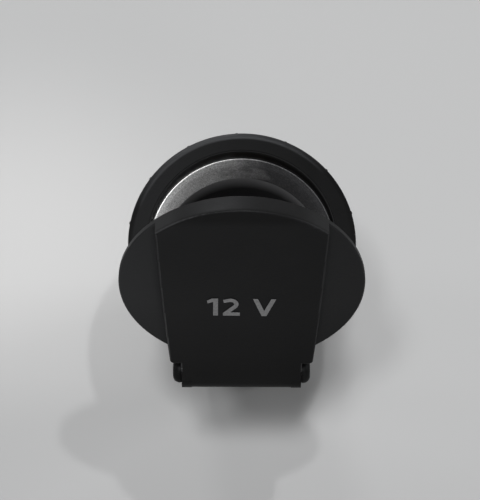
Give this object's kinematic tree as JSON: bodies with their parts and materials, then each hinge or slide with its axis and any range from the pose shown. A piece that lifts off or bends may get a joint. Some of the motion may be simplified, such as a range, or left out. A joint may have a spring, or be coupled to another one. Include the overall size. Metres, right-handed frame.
{
  "type": "car 12 v power socket with hinged lid",
  "caption": "Round snap-in 12 V power socket for a car's dashboard, with a flared steel shell, a rear blade connector and a hinged lid that stays where it is put.",
  "frame": {"origin": "centre of the flange's seating face, on the bore's axis", "axes": "+Z along the bore, out of its mouth; the lid's hinge lies towards -Y and its axis is along X; the socket stands on its rear connector"},
  "size_m": [0.0285, 0.0328, 0.0818],
  "materials": {
    "ring_plastic": "fine moulded grain, black",
    "lid_plastic": "fine moulded grain, black",
    "pin_steel": "drawn bright",
    "shell_steel": "plated, faintly grained",
    "insulator_fibre": "pressed fibre",
    "contact_brass": "bright",
    "terminal_brass": "tinned",
    "housing_plastic": "fine moulded grain, black",
    "marking_grey": "grey print on the lid"
  },
  "bodies": {
    "socket": {"mounting_ring": "ring_plastic", "hinge_pin": "pin_steel", "contact_shell": "shell_steel", "insulator": "insulator_fibre", "centre_contact": "contact_brass", "contact_rivet": "contact_brass", "positive_terminal": "terminal_brass", "ground_terminal": "terminal_brass", "housing_rivets": "pin_steel", "connector_housing": "housing_plastic"},
    "lid": {"lid": "lid_plastic"}
  },
  "joints": [
    {"name": "lid_hinge", "type": "hinge", "parent": "socket", "child": "lid", "pos_m": [0, -0.01636, 0.0029], "axis": [1, 0, 0], "range_deg": [-62.5, 44.5]}
  ]
}
